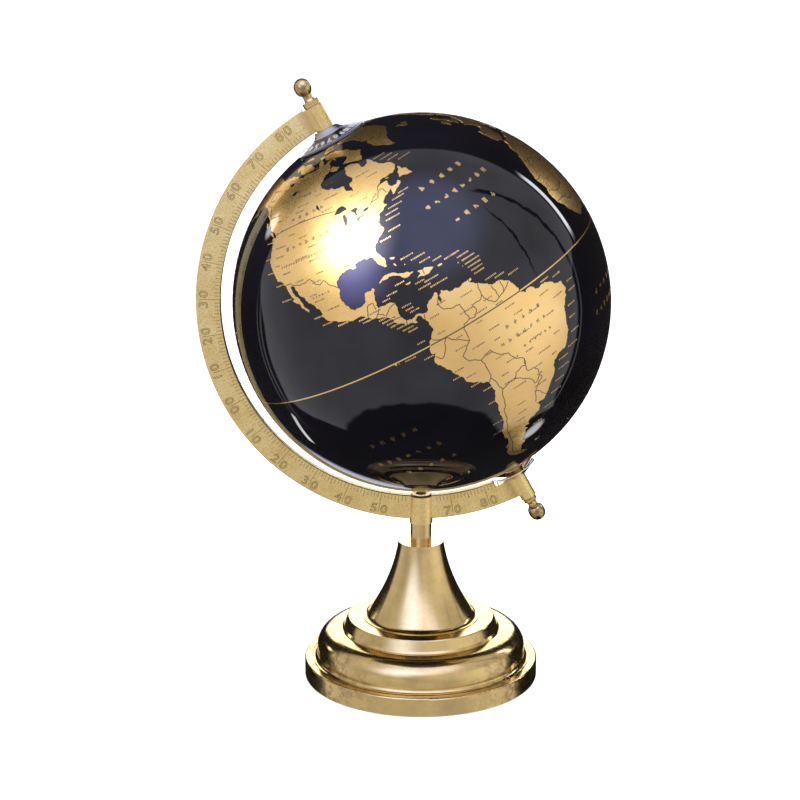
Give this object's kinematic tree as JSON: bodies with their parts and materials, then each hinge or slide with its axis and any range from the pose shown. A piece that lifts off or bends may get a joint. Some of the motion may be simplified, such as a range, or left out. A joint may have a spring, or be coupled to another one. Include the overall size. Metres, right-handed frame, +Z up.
{
  "type": "desktop globe on stand",
  "caption": "Table globe on a tilted axle in a C-shaped arm with a degree scale, on a trumpet column and round stepped foot; the ball and the hour dial both turn.",
  "frame": {"origin": "centre of the felt pad's underside, on the column's axis", "axes": "+Z up along the column; the arm lies in the XZ plane, and the axle's north end leans towards -X"},
  "size_m": [0.2193, 0.2, 0.3275],
  "materials": {
    "polished_brass": "polished and lacquered brass",
    "satin_brass": "satin brushed brass with an engraved degree scale",
    "bright_chrome": "polished, with matt numerals on the hour dial",
    "gloss_black": "high-gloss black sea under clear lacquer",
    "gold_foil": "gold foil land under clear lacquer, with thin dark borders",
    "felt": "pressed wool felt",
    "iron": "as cast",
    "zinc_steel": "zinc plated",
    "axle_steel": "drawn steel rod",
    "nylon": "natural nylon",
    "joint_board": "pressed board"
  },
  "bodies": {
    "stand": {"felt_pad": "felt", "ballast_weight": "iron", "base_foot": "polished_brass", "plinth_ring": "polished_brass", "trumpet_column": "polished_brass", "column_stem": "polished_brass", "tie_rod": "zinc_steel", "tie_rod_washer": "zinc_steel", "tie_rod_lock_washer": "zinc_steel", "tie_rod_nut": "zinc_steel", "meridian_arm": "satin_brass", "axle_rod": "axle_steel", "north_finial": "polished_brass", "south_finial": "polished_brass", "north_thrust_washer": "nylon", "south_thrust_washer": "nylon", "south_spacer": "polished_brass", "south_cup": "bright_chrome"},
    "globe": {"north_hemisphere": "gloss_black", "south_hemisphere": "gloss_black", "equator_band": "joint_board", "north_bushing": "polished_brass", "south_bushing": "polished_brass"},
    "dial": {"hour_dial": "bright_chrome", "dial_hub": "bright_chrome"}
  },
  "joints": [
    {"name": "globe_spin", "type": "hinge", "parent": "stand", "child": "globe", "pos_m": [0, 0, 0.209], "axis": [-0.4772, 0, 0.8788], "continuous": true},
    {"name": "hour_dial_turn", "type": "hinge", "parent": "stand", "child": "dial", "pos_m": [0, 0, 0.209], "axis": [-0.4772, 0, 0.8788], "continuous": true}
  ]
}
